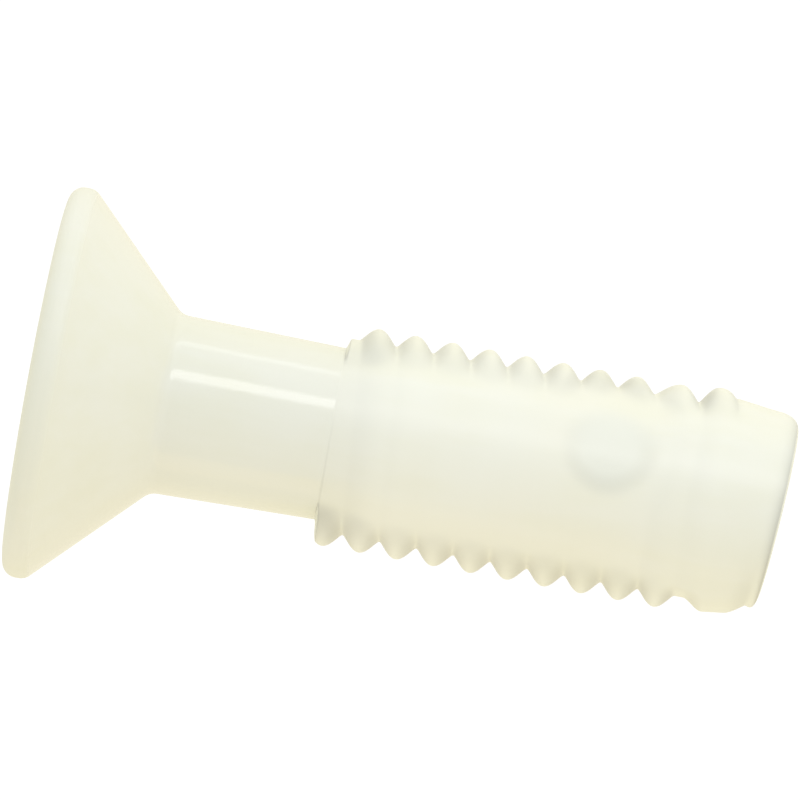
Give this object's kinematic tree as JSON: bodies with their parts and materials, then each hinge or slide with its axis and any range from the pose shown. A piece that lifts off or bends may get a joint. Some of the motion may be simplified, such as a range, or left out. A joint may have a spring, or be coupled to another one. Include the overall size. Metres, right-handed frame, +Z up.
{
  "type": "wall anchor",
  "caption": "Screw-in nylon wall anchor with a wide countersunk head, plain neck, fine right-hand thread and two expansion legs, one of them with a shallow round pocket.",
  "frame": {"origin": "centre of the head's front face, in the plane that ends up flush with the wall", "axes": "+X along the anchor's axis into the wall, towards the tip; +Z up, square to the slit; the slit between the legs lies in the XY plane, and the pocket in the upper leg faces 24.7 degrees from +Z towards +Y"},
  "size_m": [0.0319, 0.0168, 0.0168],
  "materials": {
    "natural_nylon": "translucent satin"
  },
  "bodies": {
    "shell": {"flared_head": "natural_nylon", "neck_sleeve": "natural_nylon"},
    "upper_leg": {"upper_threaded_leg": "natural_nylon", "upper_tip_half": "natural_nylon"},
    "lower_leg": {"lower_threaded_leg": "natural_nylon", "lower_tip_half": "natural_nylon"}
  },
  "joints": [
    {"name": "upper_leg_spread", "type": "hinge", "parent": "shell", "child": "upper_leg", "pos_m": [0.0125, 0, 0.0032], "axis": [0, -1, 0], "range_deg": [0, 5], "stiffness_Nm_per_rad": 0.01},
    {"name": "lower_leg_spread", "type": "hinge", "parent": "shell", "child": "lower_leg", "pos_m": [0.0125, 0, -0.0032], "axis": [0, 1, 0], "range_deg": [0, 5], "stiffness_Nm_per_rad": 0.01}
  ],
  "couplings": [
    {"joint": "lower_leg_spread", "follows": "upper_leg_spread", "ratio": 1}
  ]
}
